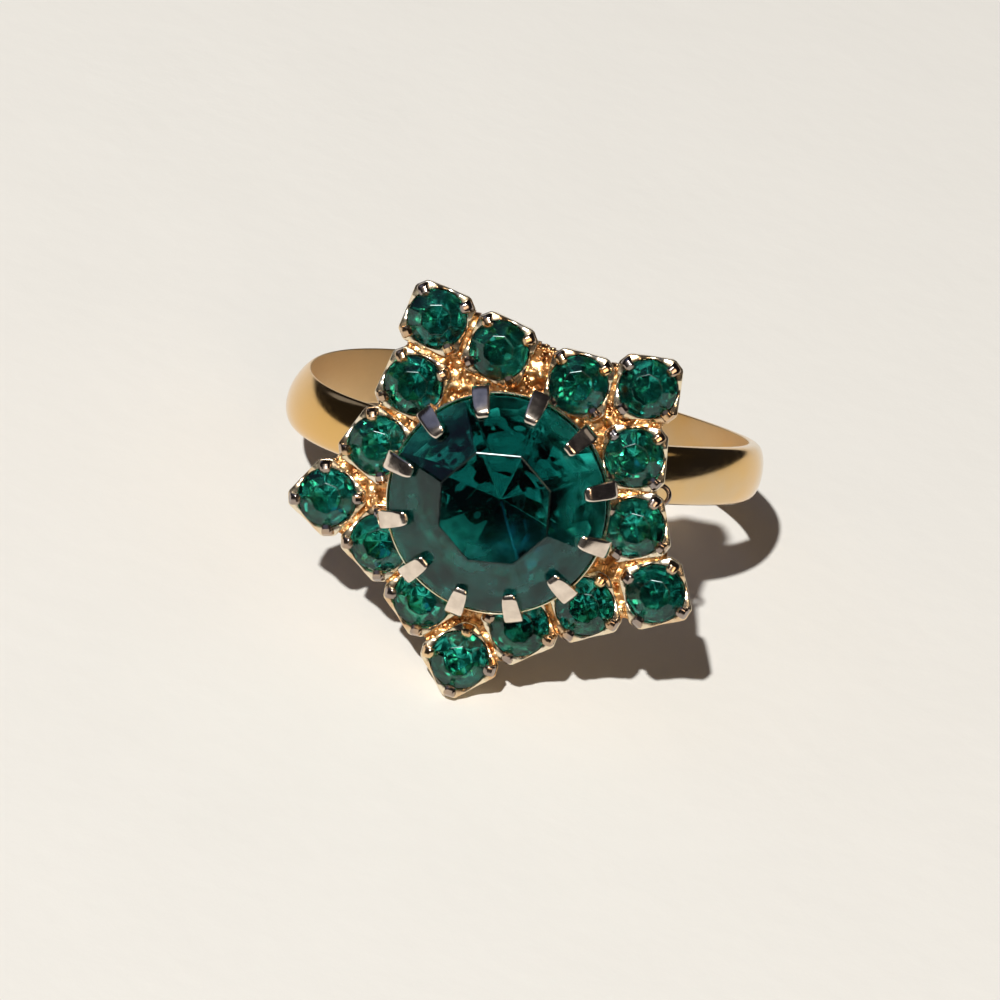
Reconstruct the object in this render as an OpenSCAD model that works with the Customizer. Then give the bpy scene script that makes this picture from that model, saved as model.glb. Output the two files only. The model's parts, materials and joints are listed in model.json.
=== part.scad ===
// Cluster ring: a five-pointed star of fifteen small stones in square claw settings,
// round one large stone in a raised claw setting, on a half-round band.
// It is modelled upright on the head's own axes, X across the finger, Y along it and
// Z out through the head, and then laid down on the star's lowest point and the rim
// behind it. The origin is the centre of the finger hole.

/* [Band] */
// Width across the finger hole
bore_diameter = 18.5; // [16:0.1:21]
// Width of the band along the finger
band_width = 2.4; // [1.8:0.1:3.6]
// Thickness of the band at the middle of its rounded back
band_thickness = 0.8; // [0.6:0.05:1.2]
// Thickness of the band at its two rims
rim_thickness = 0.25; // [0.15:0.05:0.4]
// How far the hand-bent band strays along the finger
band_stray = 0.27; // [0:0.01:0.5]
// Depth worn off the ring's lowest edges, where it lies
rest_wear = 0.08; // [0.04:0.01:0.15]
// Length of the solder that joins the band to the plate
solder_length = 5.2; // [3:0.2:7]

/* [Star] */
// Gap between two neighbouring cups of the strip
cup_spacing = 0.23; // [0.1:0.01:0.5]
// How far the star's middle sits beside the band's, across the finger
star_side = 0.24; // [-0.6:0.02:0.6]
// How far the star's middle sits from the band's, along the finger
star_drop = 1.06; // [0.2:0.02:1.6]
// Thickness of the plate that carries the cups
plate_thickness = 0.4; // [0.3:0.05:0.9]
// Gap between the finger hole and the underside of the plate
plate_rise = 0.85; // [0.4:0.05:0.9]
// How far the plate's edge lies inside the cups' rims
plate_inset = 0.4; // [0.2:0.02:0.5]
// Depth of the rough filler's top under the small stones' widest line
filler_drop = 0.22; // [0.1:0.02:0.5]
// Radius of the filler's round lumps
lump_radius = 0.42; // [0.3:0.02:0.5]
// How far the lumps' middles lie under the filler's top
lump_depth = 0.2; // [0.1:0.02:0.3]

/* [Square cups] */
// Wall of a cup beside its stone
cup_wall = 0.1; // [0.06:0.01:0.2]
// How far a cup narrows on each side, down to the plate
cup_taper = 0.12; // [0.04:0.02:0.2]
// Corner cut off a square cup
cup_corner = 0.5; // [0.3:0.05:0.6]
// Metal under a small stone's point
cup_floor = 0.3; // [0.15:0.05:0.5]
// Height of a cup's rim over the stone's widest line
cup_rim = 0.1; // [0.06:0.01:0.2]
// Depth of the dip in each side of the rim
rim_dip = 0.25; // [0.1:0.01:0.35]
// Radius of that dip's curve
dip_radius = 0.6; // [0.4:0.05:1]
// Width of the ledge that a small stone sits on
cup_ledge = 0.15; // [0.1:0.01:0.3]
// Radius of the hollow under a small stone, at its bottom
cup_hollow = 0.85; // [0.5:0.05:0.9]
// Radius of a small claw
bead_radius = 0.22; // [0.16:0.01:0.25]
// How far a small claw stands out past the cut corner
bead_proud = 0.06; // [0.02:0.01:0.1]
// How far a small claw's top stands over the small table
bead_over = 0.08; // [0.02:0.01:0.2]
// Radius of the small link tab's loop
tab_radius = 0.38; // [0.3:0.02:0.5]
// Radius of the link tab's wire
tab_wire = 0.1; // [0.06:0.01:0.14]

/* [Small stones] */
// Width of a small stone
stone_diameter = 2.3; // [2.0:0.05:2.6]
// Height of a small stone's crown
stone_crown = 0.42; // [0.34:0.02:0.5]
// Depth of a small stone's point
stone_point = 0.92; // [0.8:0.02:1.1]

/* [Centre stone] */
// Width of the centre stone
centre_diameter = 8.5; // [7.8:0.1:8.8]
// Height of the centre stone's crown
centre_crown = 1.4; // [1.1:0.05:1.7]
// Depth of the centre stone's point
centre_point = 2.9; // [2.7:0.05:3.2]
// Turn of the centre stone's facets
centre_turn = 28; // [0:1:45]
// Width of a table as a share of its stone's width
table_share = 0.54; // [0.48:0.01:0.6]
// Thickness of a stone's widest edge as a share of its width
edge_share = 0.03; // [0.02:0.005:0.05]

/* [Centre setting] */
// Number of claws round the centre stone
claw_count = 12; // [8:1:14]
// Turn of the claws
claw_turn = 18; // [0:1:30]
// Width of a claw at its bend
claw_width = 0.72; // [0.5:0.02:0.9]
// Thickness of a claw
claw_thickness = 0.34; // [0.24:0.02:0.44]
// How far a claw reaches up the crown
claw_reach = 0.95; // [0.7:0.05:1.2]
// Share of its width that a claw keeps at its tip
claw_taper = 0.72; // [0.5:0.02:0.9]
// Wall of the setting at the centre stone's widest line
collar_wall = 0.12; // [0.08:0.01:0.2]
// Wall of the setting's foot
foot_wall = 0.4; // [0.3:0.05:0.6]
// Bevel round the underside of the foot
foot_bevel = 0.16; // [0.14:0.01:0.2]
// Width of the ledge that the centre stone sits on
collar_ledge = 0.5; // [0.3:0.05:0.7]
// Metal under the centre stone's point
collar_floor = 0.23; // [0.15:0.01:0.4]

/* [Fits] */
// Gap between a stone and its metal
stone_gap = 0.03; // [0.01:0.01:0.05]
// Gap between the centre setting and the metal round its foot
foot_gap = 0.04; // [0.02:0.01:0.08]
// Gap between the centre setting and the small claws it rises past
pass_gap = 0.12; // [0.08:0.02:0.2]

/* [Hidden] */
$fn = 48;

gold = "goldenrod";
silver = "silver";
emerald = "seagreen";

// The strip of fifteen cups, in their order along the strip.
// Columns: angle about the star's middle, distance as a share of star_reach,
// and 1 where the strip folds into a point of the star
ANGLE = 0;
SHARE = 1;
POINT = 2;
cups = [
    [120, 1.07, 1],
    [101, 0.83, 0],
    [66, 0.77, 0],
    [47, 1.03, 1],
    [27, 0.78, 0],
    [-2.5, 0.773, 0],
    [-22, 1.025, 1],
    [-43, 0.78, 0],
    [-72.5, 0.752, 0],
    [-94.5, 0.97, 1],
    [-117.5, 0.74, 0],
    [-148.5, 0.746, 0],
    [-169, 0.992, 1],
    [168, 0.76, 0],
    [138.5, 0.803, 0]
];
LOWEST_CUP = 9;
TAB_CUP = 4;

// Shares of the sizes that they follow
solder_share = 0.8; // the solder's width, of the band's
solder_sink = 0.1; // how far it reaches into the finger hole before that is cut, of its radius
link_share = 0.6; // the width of the metal between two cups, of a cup's side
lump_inset = 1.55; // how far the lumps lie inside a point of the star, of a cup's corner reach
lump_turn = 7; // the angle from one lump to the next about the star's middle
lump_step = 0.9; // how far the outer lumps lie behind the middle one, of a lump's radius
tab_sink = 0.4; // how far the tab's loop is sunk into the side of the star, of its radius

// Sizes of a cup, and of the star that a strip of such cups folds into
stone_radius = stone_diameter / 2;
point_gap = 1.5 * stone_gap;
cup_side = stone_diameter + 2 * (stone_gap + cup_wall);
cup_depth = stone_point + point_gap + cup_floor;
corner_reach = (cup_side - cup_corner) / sqrt(2);
bead_spot = corner_reach + bead_proud - bead_radius;
bead_top = stone_crown + bead_over;
star_reach = 2.5 * (cup_side + cup_spacing);
inner_share = min([for (cup = cups) cup[SHARE]]);

// Heights over the middle of the finger hole
bore_radius = bore_diameter / 2;
plate_bottom = bore_radius + plate_rise;
plate_top = plate_bottom + plate_thickness;
girdle_height = plate_top + cup_depth;
centre_height = plate_top + foot_gap + collar_floor + point_gap + centre_point;

// Sizes of the centre setting
centre_radius = centre_diameter / 2;
foot_radius = inner_share * star_reach - cup_side / 2 - bead_proud - pass_gap;
rim_radius = centre_radius + stone_gap + collar_wall;
foot_bottom = plate_top + foot_gap - centre_height;
foot_top = girdle_height + bead_top + pass_gap - centre_height;

// The ring lies with the cut corner of its lowest cup flat on the floor, and leans
// back until the rim of the band touches the floor behind it
roll = 225 - cup_heading(LOWEST_CUP);
lowest_spot = cup_spot(LOWEST_CUP);
foot_corner = corner_reach - sqrt(2) * cup_taper;
lowest_reach = foot_corner - lowest_spot[0] * sin(roll) - lowest_spot[1] * cos(roll);
tilt = atan2(lowest_reach - band_width / 2, plate_top + bore_radius + rim_thickness);
floor_level = plate_top * sin(tilt) - lowest_reach * cos(tilt) + rest_wear;

function stone_name(i) = str("star_stone_", i < 10 ? "0" : "", i);

function cup_spot(i) =
    let (cup = cups[i % len(cups)], reach = star_reach * cup[SHARE])
    [star_side + reach * cos(cup[ANGLE]), reach * sin(cup[ANGLE]) - star_drop];

// A cup lines up with its two neighbours, and at a point of the star its corner leads
function cup_heading(i) =
    let (along = cup_spot(i + 1) - cup_spot(i + len(cups) - 1))
    atan2(along[1], along[0]) + 45 * cups[i][POINT];

function cut_square(side, corner) =
    let (far = side / 2, near = far - corner)
    [
        [far, -near], [far, near], [near, far], [-near, far],
        [-far, near], [-far, -near], [-near, -far], [near, -far]
    ];

// How much higher the widest edge reaches where two crown facets meet, and how much
// lower where two facets of the point meet
function edge_rise(radius, crown) =
    let (edge = edge_share * radius, mid = radius * table_share * cos(22.5))
    radius * (1 - cos(22.5)) * (crown - edge) / (radius - mid);
function edge_fall(radius, point) = (1 - cos(22.5)) * (point - edge_share * radius);

module laid_down() {
    rotate([90 - tilt, 0, 0])
        rotate([0, 0, roll])
            children();
}

module at_cup(i) {
    translate(concat(cup_spot(i), girdle_height))
        rotate([0, 0, cup_heading(i)])
            children();
}

module at_centre() {
    translate([star_side, -star_drop, centre_height])
        children();
}

// A cut stone about its widest line: a table, eight crown facets, a round edge and
// eight facets down to the point
module cut_stone(radius, crown, point) {
    edge = edge_share * radius;
    inner = cos(22.5);
    crown_slope = (crown - edge) / (radius - radius * table_share * inner);
    point_slope = (point - edge) / radius;
    past_edge = 2 * edge / (crown_slope + point_slope);
    waist = (radius + past_edge) / inner;
    ring = [for (k = [0 : 7]) [cos(45 * k), sin(45 * k)]];
    points = concat(
        [for (way = ring) concat(radius * table_share * way, crown)],
        [for (way = ring) concat(waist * way, edge - crown_slope * past_edge)],
        [[0, 0, -point]]
    );
    faces = concat(
        [[for (k = [7 : -1 : 0]) k]],
        [for (k = [0 : 7]) [k, (k + 1) % 8, 8 + (k + 1) % 8, 8 + k]],
        [for (k = [0 : 7]) [8 + k, 8 + (k + 1) % 8, 16]]
    );
    intersection() {
        polyhedron(points, faces);
        translate([0, 0, -point])
            cylinder(r = radius, h = point + crown);
    }
}

// The room that a stone takes in its metal, open at the top. It sits on a ledge that
// follows its point, over a hollow whose side is given from the bottom up
module stone_room(radius, crown, point, ledge, hollow) {
    edge = edge_share * radius;
    wide = radius + stone_gap;
    shoulder = edge + edge_rise(radius, crown) + stone_gap;
    seat = edge + edge_fall(radius, point) + stone_gap;
    slope = (point + point_gap - seat) / wide;
    table = radius * table_share + stone_gap;
    rotate_extrude()
        polygon(concat(
            [[0, -point - point_gap]],
            hollow,
            [
                [wide - ledge, -seat - ledge * slope],
                [wide, -seat],
                [wide, shoulder],
                [table, crown + stone_gap],
                [table, 2 * crown],
                [0, 2 * crown]
            ]
        ));
}

// The half-round band before the finger hole is cut, bent a little along the finger
module bent_band() {
    step = 6;
    turns = [for (turn = [0 : step : 360 - step]) turn];
    swell = band_thickness - rim_thickness;
    inner = bore_radius - rim_thickness;
    section = concat(
        [[inner, -band_width / 2]],
        [
            for (lean = [-90 : 30 : 90])
            [bore_radius + rim_thickness + swell * cos(lean), band_width / 2 * sin(lean)]
        ],
        [[inner, band_width / 2]]
    );
    sides = len(section);
    points = [
        for (turn = turns, spot = section)
        [spot[0] * sin(turn), spot[1] + band_stray * sin(2 * turn), spot[0] * cos(turn)]
    ];
    faces = [
        for (i = [0 : len(turns) - 1], k = [0 : sides - 1])
        let (
            here = i * sides,
            next = ((i + 1) % len(turns)) * sides,
            k2 = (k + 1) % sides
        )
        each [
            [here + k, here + k2, next + k2],
            [here + k, next + k2, next + k]
        ]
    ];
    polyhedron(points, faces);
}

module band() {
    solder_width = solder_share * band_width;
    solder_bottom = (1 - solder_sink) * bore_radius;
    difference() {
        union() {
            bent_band();
            translate([-solder_length / 2, -solder_width / 2, solder_bottom])
                cube([solder_length, solder_width, plate_bottom - solder_bottom]);
        }
        rotate([90, 0, 0])
            cylinder(r = bore_radius, h = 3 * band_width, center = true, $fn = 144);
    }
}

// The plate under the cups, with the star's own outline
module plate() {
    translate([0, 0, plate_bottom]) {
        linear_extrude(plate_thickness)
            polygon([for (i = [0 : len(cups) - 1]) cup_spot(i)]);
        for (i = [0 : len(cups) - 1])
            translate(cup_spot(i))
                rotate(cup_heading(i))
                    linear_extrude(plate_thickness + cup_floor / 2)
                        polygon(cut_square(cup_side - 2 * plate_inset, cup_corner));
    }
}

// The rough metal that fills the star between its cups, with round lumps in its gaps
module filler() {
    top = girdle_height - filler_drop;
    link_width = link_share * cup_side;
    link_length = cup_side + cup_spacing;
    translate([0, 0, plate_top])
        linear_extrude(top - plate_top)
            polygon([for (i = [0 : len(cups) - 1]) cup_spot(i)]);
    for (i = [0 : len(cups) - 1]) {
        along = cup_spot(i + 1) - cup_spot(i);
        translate(concat((cup_spot(i) + cup_spot(i + 1)) / 2, plate_top))
            rotate([0, 0, atan2(along[1], along[0])])
                translate([-link_length / 2, -link_width / 2, 0])
                    cube([link_length, link_width, top - plate_top]);
        if (cups[i][POINT] == 1)
            for (side = [-1 : 1]) {
                inner = star_reach * cups[i][SHARE] - lump_inset * corner_reach;
                reach = inner - lump_step * lump_radius * abs(side);
                way = cups[i][ANGLE] + lump_turn * side;
                spot = [star_side + reach * cos(way), reach * sin(way) - star_drop];
                translate(concat(spot, top - lump_depth))
                    sphere(r = lump_radius);
            }
    }
}

// A square block with cut corners that widens from its foot at z = 0 up to its rim
module flared_block(side, foot, corner, height) {
    points = concat(
        [for (spot = cut_square(foot, corner)) concat(spot, 0)],
        [for (spot = cut_square(side, corner)) concat(spot, height)]
    );
    faces = concat(
        [[for (k = [0 : 7]) k]],
        [[for (k = [15 : -1 : 8]) k]],
        [for (k = [0 : 7]) [k, 8 + k, 8 + (k + 1) % 8, (k + 1) % 8]]
    );
    polyhedron(points, faces);
}

module cup_block() {
    claw_root = -cup_depth / 2;
    round_off = bead_top - claw_root - bead_radius;
    difference() {
        translate([0, 0, -cup_depth])
            flared_block(cup_side, cup_side - 2 * cup_taper, cup_corner, cup_depth + cup_rim);
        for (way = [0, 90])
            translate([0, 0, cup_rim - rim_dip + dip_radius])
                rotate([0, 90, way])
                    cylinder(r = dip_radius, h = 2 * cup_side, center = true);
    }
    for (way = [45 : 90 : 315])
        rotate([0, 0, way])
            translate([bead_spot, 0, claw_root])
                rotate_extrude()
                    polygon(concat(
                        [[0, 0], [bead_radius, 0]],
                        [
                            for (turn = [0 : 30 : 90])
                            [bead_radius * cos(turn), round_off + bead_radius * sin(turn)]
                        ]
                    ));
}

// A wire loop left over where the strip was linked
module link_tab() {
    middle = (cup_spot(TAB_CUP) + cup_spot(TAB_CUP + 1)) / 2;
    outward = [cup_side / 2 - tab_sink * tab_radius, 0];
    translate(concat(middle + outward, girdle_height - cup_depth / 2))
        rotate_extrude()
            translate([tab_radius, 0])
                circle(r = tab_wire);
}

module ring_frame() {
    color(gold)
        difference() {
            laid_down() {
                band();
                plate();
                filler();
                for (i = [0 : len(cups) - 1])
                    at_cup(i) cup_block();
                link_tab();
            }
            laid_down() {
                for (i = [0 : len(cups) - 1])
                    at_cup(i)
                        stone_room(
                            stone_radius, stone_crown, stone_point, cup_ledge,
                            [[cup_hollow, -stone_point - point_gap]]
                        );
                translate([star_side, -star_drop, plate_top])
                    cylinder(r = foot_radius + foot_gap, h = 2 * cup_depth, $fn = 96);
            }
            translate([0, 0, floor_level - bore_radius / 2])
                cube([4, 4, 1] * bore_radius, center = true);
        }
}

// One claw: it rises beside the stone's edge and bends in along the crown
module centre_claw() {
    lean = atan2(centre_crown, centre_radius * (1 - table_share));
    outer = rim_radius + claw_thickness;
    along = claw_reach * [-cos(lean), sin(lean)];
    off = claw_thickness * [sin(lean), cos(lean)];
    bend = [rim_radius, edge_share * centre_radius];
    tip = bend + along - [0.7 * collar_wall, 0];
    bevel = [0.35 * claw_thickness * cos(lean), 0];
    narrow = claw_taper * claw_width;
    intersection() {
        rotate([90, 0, 0])
            linear_extrude(claw_width, center = true)
                polygon([
                    [foot_radius - foot_wall, foot_top],
                    [foot_radius, foot_top],
                    [outer, -0.6 * claw_thickness],
                    [outer, 0.45 * claw_thickness],
                    bend + off,
                    tip + 0.9 * off,
                    tip + 0.3 * off - bevel,
                    tip - 0.5 * off,
                    [centre_radius, -0.9 * claw_thickness]
                ]);
        translate([0, 0, foot_top])
            linear_extrude(centre_crown - foot_top)
                polygon([
                    [outer, -claw_width / 2],
                    [bend[0], -claw_width / 2],
                    [tip[0], -narrow / 2],
                    [tip[0] - 0.4 * narrow, -0.2 * narrow],
                    [tip[0] - 0.4 * narrow, 0.2 * narrow],
                    [tip[0], narrow / 2],
                    [bend[0], claw_width / 2],
                    [outer, claw_width / 2]
                ]);
    }
}

module centre_setting() {
    hollow = foot_radius - foot_wall;
    color(silver)
        laid_down()
            at_centre()
                difference() {
                    union() {
                        rotate_extrude($fn = 96)
                            polygon([
                                [0, foot_bottom],
                                [foot_radius - foot_bevel, foot_bottom],
                                [foot_radius, foot_bottom + foot_bevel],
                                [foot_radius, foot_top],
                                [rim_radius, -2.5 * collar_wall],
                                [rim_radius, -collar_wall / 3],
                                [0, -collar_wall / 3]
                            ]);
                        for (i = [0 : claw_count - 1])
                            rotate([0, 0, claw_turn + 360 * i / claw_count])
                                centre_claw();
                    }
                    stone_room(
                        centre_radius, centre_crown, centre_point, collar_ledge,
                        [[hollow, -centre_point - point_gap], [hollow, foot_top]],
                        $fn = 96
                    );
                }
}

module centre_stone() {
    color(emerald)
        laid_down()
            at_centre()
                rotate([0, 0, centre_turn])
                    cut_stone(centre_radius, centre_crown, centre_point, $fn = 96);
}

module star_stone(i) {
    color(emerald)
        laid_down()
            at_cup(i)
                cut_stone(stone_radius, stone_crown, stone_point);
}

ring_frame();
centre_setting();
centre_stone();
for (i = [0 : len(cups) - 1])
    star_stone(i);
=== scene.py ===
import json
import math
import bpy
import bmesh
import numpy as np
from mathutils import Matrix, Vector, noise


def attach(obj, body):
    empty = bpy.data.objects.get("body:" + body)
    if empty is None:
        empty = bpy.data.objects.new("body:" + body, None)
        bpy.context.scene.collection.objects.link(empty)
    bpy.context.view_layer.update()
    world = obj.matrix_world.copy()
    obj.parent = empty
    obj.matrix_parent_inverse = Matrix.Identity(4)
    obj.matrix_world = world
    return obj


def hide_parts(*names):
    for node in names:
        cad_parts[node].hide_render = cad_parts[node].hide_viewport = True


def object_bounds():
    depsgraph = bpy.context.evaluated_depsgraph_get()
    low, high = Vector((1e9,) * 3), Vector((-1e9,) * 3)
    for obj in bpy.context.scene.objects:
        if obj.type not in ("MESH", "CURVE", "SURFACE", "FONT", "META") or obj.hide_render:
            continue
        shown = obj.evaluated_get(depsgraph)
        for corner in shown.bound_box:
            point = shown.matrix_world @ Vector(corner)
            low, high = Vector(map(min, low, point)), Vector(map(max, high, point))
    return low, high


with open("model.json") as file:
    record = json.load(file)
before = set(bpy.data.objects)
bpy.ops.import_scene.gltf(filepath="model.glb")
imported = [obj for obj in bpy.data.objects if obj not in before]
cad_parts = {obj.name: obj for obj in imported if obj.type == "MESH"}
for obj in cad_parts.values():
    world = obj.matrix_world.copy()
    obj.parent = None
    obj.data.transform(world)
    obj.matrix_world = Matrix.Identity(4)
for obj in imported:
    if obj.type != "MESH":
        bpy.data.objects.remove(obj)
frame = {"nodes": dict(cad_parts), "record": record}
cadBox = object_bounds()
print("frame loaded")

# Sizes below are in mm on the head's own axes: X across the finger, Y along the finger
# hole and Z out through the head, with the middle of the finger hole at zero.
# headToWorld lays such points down where the CAD model has them, in metres.
mmPerMetre = 1000
stoneNames = ["star_stone_%02d" % number for number in range(1, 16)]
nodes = frame["nodes"]


def tableNormal(node):
    # the table is the largest flat on a stone
    sums = {}
    for face in node.data.polygons:
        key = tuple(round(part, 2) for part in face.normal)
        sums[key] = sums.get(key, Vector()) + face.normal * face.area
    return max(sums.values(), key=lambda flat: flat.length).normalized()


bore = next(mount for mount in frame["record"]["mounts"] if mount["kind"] == "bore")
alongFinger = Vector(bore["axis"]).normalized()
acrossFinger = alongFinger.cross(tableNormal(nodes["centre_stone"])).normalized()
outward = acrossFinger.cross(alongFinger)
headTurn = Matrix((acrossFinger, alongFinger, outward)).transposed()
headToWorld = headTurn.to_4x4() @ Matrix.Scale(1 / mmPerMetre, 4)
floorHeight = cadBox[0][2]


def headPoints(name):
    points = np.array([vert.co for vert in nodes[name].data.vertices])
    return points @ np.array(headTurn) * mmPerMetre


def stonePlace(name, depth):
    # spot of the stone's widest line, its radius, and the way one of its edges points
    flatWithin = 0.01
    points = headPoints(name)
    culet = points[points[:, 2].argmin()]
    table = points[points[:, 2] > points[:, 2].max() - flatWithin] - culet
    flat = points[:, :2] - culet[:2]
    corner = table[np.hypot(table[:, 0], table[:, 1]).argmax()]
    return {
        "spot": Vector((culet[0], culet[1], culet[2] + depth)),
        "radius": float(np.hypot(flat[:, 0], flat[:, 1]).max()),
        "turn": math.atan2(corner[1], corner[0]),
    }


# Camera, fitted to the stones and the band's rims in the photograph
view = {
    # angles in degrees, aim and distance in mm, lens and sensor in mm, and the near clip in metres
    "side": 3.488, "up": 9.111, "roll": 10.082, "aim": (-0.526, -3.10, 0), "away": 200,
    "lens": 172.04, "sensor": 36, "nearClip": 0.01,
}


def addCamera(view):
    side, up, roll = (math.radians(view[key]) for key in ("side", "up", "roll"))
    look = -Vector((math.sin(side) * math.cos(up), math.sin(up), math.cos(side) * math.cos(up)))
    right = look.cross(Vector((0, 1, 0))).normalized()
    above = right.cross(look)
    turnedRight = right * math.cos(roll) + above * math.sin(roll)
    turnedAbove = above * math.cos(roll) - right * math.sin(roll)
    turn = headTurn @ Matrix((turnedRight, turnedAbove, -look)).transposed()
    place = headToWorld @ (Vector(view["aim"]) - look * view["away"])
    data = bpy.data.cameras.new("photoView")
    data.lens = view["lens"]
    data.sensor_width = view["sensor"]
    data.clip_start = view["nearClip"]
    camera = bpy.data.objects.new("photoView", data)
    camera.matrix_world = Matrix.Translation(place) @ turn.to_4x4()
    bpy.context.scene.collection.objects.link(camera)
    bpy.context.scene.camera = camera
    return camera


camera = addCamera(view)
print("camera placed")


# Node trees
noiseRange = (0.3, 0.7)


def addNode(tree, kind, **settings):
    node = tree.nodes.new(kind)
    for key, value in settings.items():
        setattr(node, key, value)
    return node


def feed(tree, target, socket, source):
    # a number or colour is set on the socket, and another node's output is linked to it
    if isinstance(source, bpy.types.NodeSocket):
        tree.links.new(source, target.inputs[socket])
    else:
        target.inputs[socket].default_value = source


def shaderNode(tree, kind, inputs, **settings):
    node = addNode(tree, kind, **settings)
    for socket, source in inputs.items():
        feed(tree, node, socket, source)
    return node


def newMaterial(name, **settings):
    material = bpy.data.materials.new(name)
    material.use_nodes = True
    tree = material.node_tree
    shader = tree.nodes["Principled BSDF"]
    for key, value in settings.items():
        shader.inputs[key].default_value = value
    return material, tree, shader


def colourSteps(tree, factor, steps):
    ramp = addNode(tree, "ShaderNodeValToRGB")
    feed(tree, ramp, "Fac", factor)
    while len(ramp.color_ramp.elements) < len(steps):
        ramp.color_ramp.elements.new(1)
    for element, (place, colour) in zip(ramp.color_ramp.elements, steps):
        element.position = place
        element.color = (*colour, 1)
    return ramp.outputs["Color"]


def arithmetic(tree, operation, first, second=None):
    inputs = {0: first} if second is None else {0: first, 1: second}
    return shaderNode(tree, "ShaderNodeMath", inputs, operation=operation).outputs[0]


def grain(tree, size, detail=2, stretch=(1, 1, 1)):
    # noise in the object's own space, with its size in mm
    place = addNode(tree, "ShaderNodeTexCoord").outputs["Object"]
    mapped = shaderNode(tree, "ShaderNodeMapping", {"Vector": place, "Scale": stretch})
    texture = shaderNode(tree, "ShaderNodeTexNoise", {
        "Vector": mapped.outputs["Vector"], "Scale": mmPerMetre / size, "Detail": detail,
    })
    return texture.outputs["Fac"]


def spread(tree, factor, low, high):
    # noise keeps near its middle, so that part is stretched over the whole range
    return shaderNode(tree, "ShaderNodeMapRange", {
        "Value": factor, "From Min": noiseRange[0], "From Max": noiseRange[1], "To Min": low, "To Max": high,
    }).outputs["Result"]


def bumps(tree, shader, height, depth):
    # depth is in mm
    bump = shaderNode(tree, "ShaderNodeBump", {
        "Height": height, "Distance": depth / mmPerMetre, "Strength": 1.0,
    })
    feed(tree, shader, "Normal", bump.outputs["Normal"])


# Metals
metalLooks = {
    # patches, rubbing and dents are grains, each with a size in mm and a detail
    # soft gold plating, rubbed through to grey metal in places, and most of all inside the band
    "bandGold": {
        "patches": (5.5, 3), "rubbing": (0.5, 3, (1, 1, 4)), "roughness": (0.09, 0.17),
        "dents": (2.5, 2), "dentDepth": 0.006, "inside": (0.7, 0.3),
        "colours": [(0.0, (0.81, 0.49, 0.16)), (0.7, (0.78, 0.50, 0.19)), (1.0, (0.72, 0.53, 0.30))],
    },
    # warm cast gold in random patches, with painted shade in its hollows as deep orange and painted
    # highlights on its high spots as cream
    "starGold": {
        "patches": (0.3, 3), "relief": (0.45, 1.5), "rubbing": (0.3, 3), "roughness": (0.24, 0.4),
        "dents": (0.16, 3), "dentDepth": 0.022,
        "colours": [
            (0.0, (0.22, 0.08, 0.03)), (0.4, (0.58, 0.26, 0.09)), (0.75, (0.80, 0.46, 0.19)),
            (1.0, (0.95, 0.76, 0.48)),
        ],
    },
    # pale plating on the cups, the plate and the collar, with warm gold left in patches
    "cupGold": {
        "patches": (1.1, 3), "rubbing": (0.3, 2), "roughness": (0.16, 0.3),
        "dents": (0.35, 3), "dentDepth": 0.012,
        "colours": [(0.0, (0.90, 0.82, 0.68)), (0.5, (0.86, 0.72, 0.50)), (1.0, (0.66, 0.36, 0.15))],
    },
    # pale plating on the large claws
    "clawSilver": {
        "patches": (0.5, 3), "rubbing": (0.5, 3), "roughness": (0.12, 0.22),
        "dents": (0.5, 3), "dentDepth": 0.012,
        "colours": [(0.0, (0.66, 0.56, 0.47)), (1.0, (0.94, 0.82, 0.71))],
    },
    # darker worn plating on the small claws and the link tab, rubbed to gold in places
    "clawGrey": {
        "patches": (2.6, 2), "rubbing": (0.4, 3), "roughness": (0.1, 0.2),
        "dents": (0.4, 3), "dentDepth": 0.01,
        "colours": [
            (0.0, (0.26, 0.24, 0.25)), (0.45, (0.38, 0.30, 0.25)), (0.8, (0.72, 0.47, 0.25)),
            (1.0, (0.84, 0.62, 0.36)),
        ],
    },
}


def platedMetal(name, look):
    # patches choose the colour and rubbing the roughness
    material, tree, shader = newMaterial(name, Metallic=1.0)
    patches = grain(tree, *look["patches"])
    if "relief" in look:
        # painted shade and highlight by height: the sum of height and grain that is darkest, and the one that
        # is palest
        darkest, palest = look["relief"]
        relief = addNode(tree, "ShaderNodeAttribute", attribute_name="relief").outputs["Fac"]
        patches = shaderNode(tree, "ShaderNodeMapRange", {
            "Value": arithmetic(tree, "ADD", relief, patches), "From Min": darkest, "From Max": palest,
        }).outputs["Result"]
    else:
        patches = spread(tree, patches, 0, 1)
    roughness = spread(tree, grain(tree, *look["rubbing"]), *look["roughness"])
    if "inside" in look:
        greyer, rougher = look["inside"]
        inside = addNode(tree, "ShaderNodeAttribute", attribute_name="inside").outputs["Fac"]
        patches = arithmetic(tree, "ADD", patches, arithmetic(tree, "MULTIPLY", inside, greyer))
        roughness = arithmetic(tree, "ADD", roughness, arithmetic(tree, "MULTIPLY", inside, rougher))
    feed(tree, shader, "Base Color", colourSteps(tree, patches, look["colours"]))
    feed(tree, shader, "Roughness", roughness)
    bumps(tree, shader, grain(tree, *look["dents"]), look["dentDepth"])
    return material


metals = {name: platedMetal(name, look) for name, look in metalLooks.items()}
print("metals made")


# Meshes
def turnFacesOut(mesh):
    work = bmesh.new()
    work.from_mesh(mesh)
    bmesh.ops.recalc_face_normals(work, faces=work.faces)
    work.to_mesh(mesh)
    work.free()


def meshFrom(name, points, faces, smoothBelow=40):
    mesh = bpy.data.meshes.new(name)
    mesh.from_pydata([tuple(point) for point in points], [], faces)
    mesh.update()
    turnFacesOut(mesh)
    mesh.shade_smooth()
    mesh.set_sharp_from_angle(angle=math.radians(smoothBelow))
    return mesh


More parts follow.
